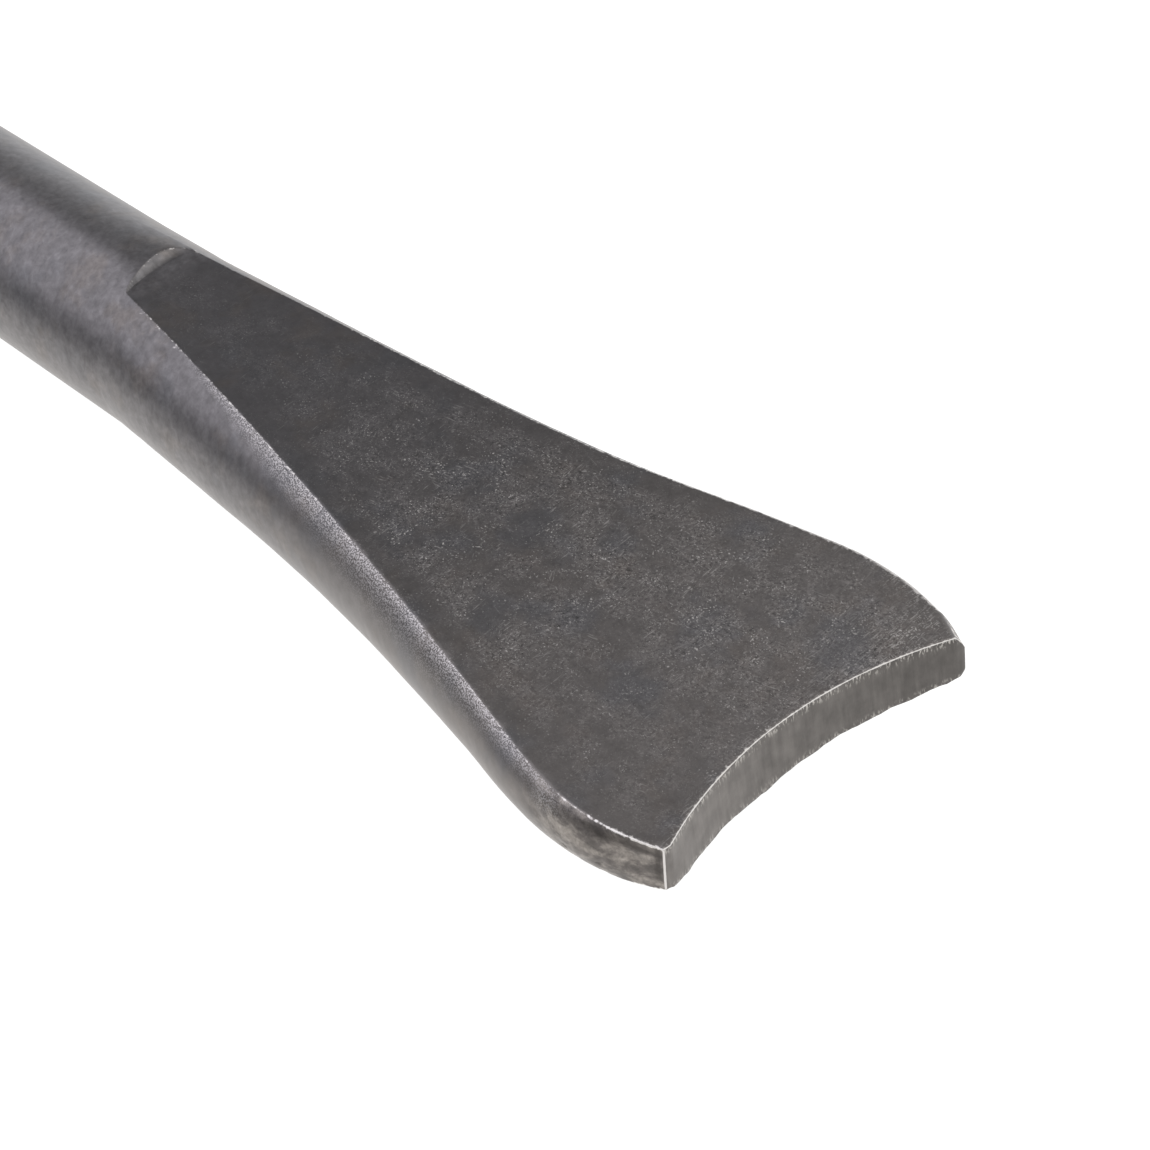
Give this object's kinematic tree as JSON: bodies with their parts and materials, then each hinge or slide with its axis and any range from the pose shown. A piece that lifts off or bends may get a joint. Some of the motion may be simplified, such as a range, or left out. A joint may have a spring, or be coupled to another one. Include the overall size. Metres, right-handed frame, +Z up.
{
  "type": "pry bar",
  "caption": "Steel pry bar: round shank, flared flat blade with a hollowed blunt end, hooked nail claw at the other end, two-part moulded grip.",
  "frame": {"origin": "under the middle of the whole tool, level with the bottom flats of the grip collars, which are its lowest points", "axes": "+X along the shank towards the fan blade, +Z up out of the blade's upper flat and towards the hook, +Y across the blade"},
  "size_m": [0.6099, 0.0386, 0.122],
  "materials": {
    "forged_steel": "dark forging scale, worn bright on the edges",
    "grip_plastic": "finely textured black moulded plastic",
    "grip_rubber": "soft charcoal moulded rubber with fine grain"
  },
  "bodies": {
    "root": {"bar": "forged_steel", "grip_core": "grip_plastic", "grip_cushion": "grip_rubber"}
  },
  "joints": []
}
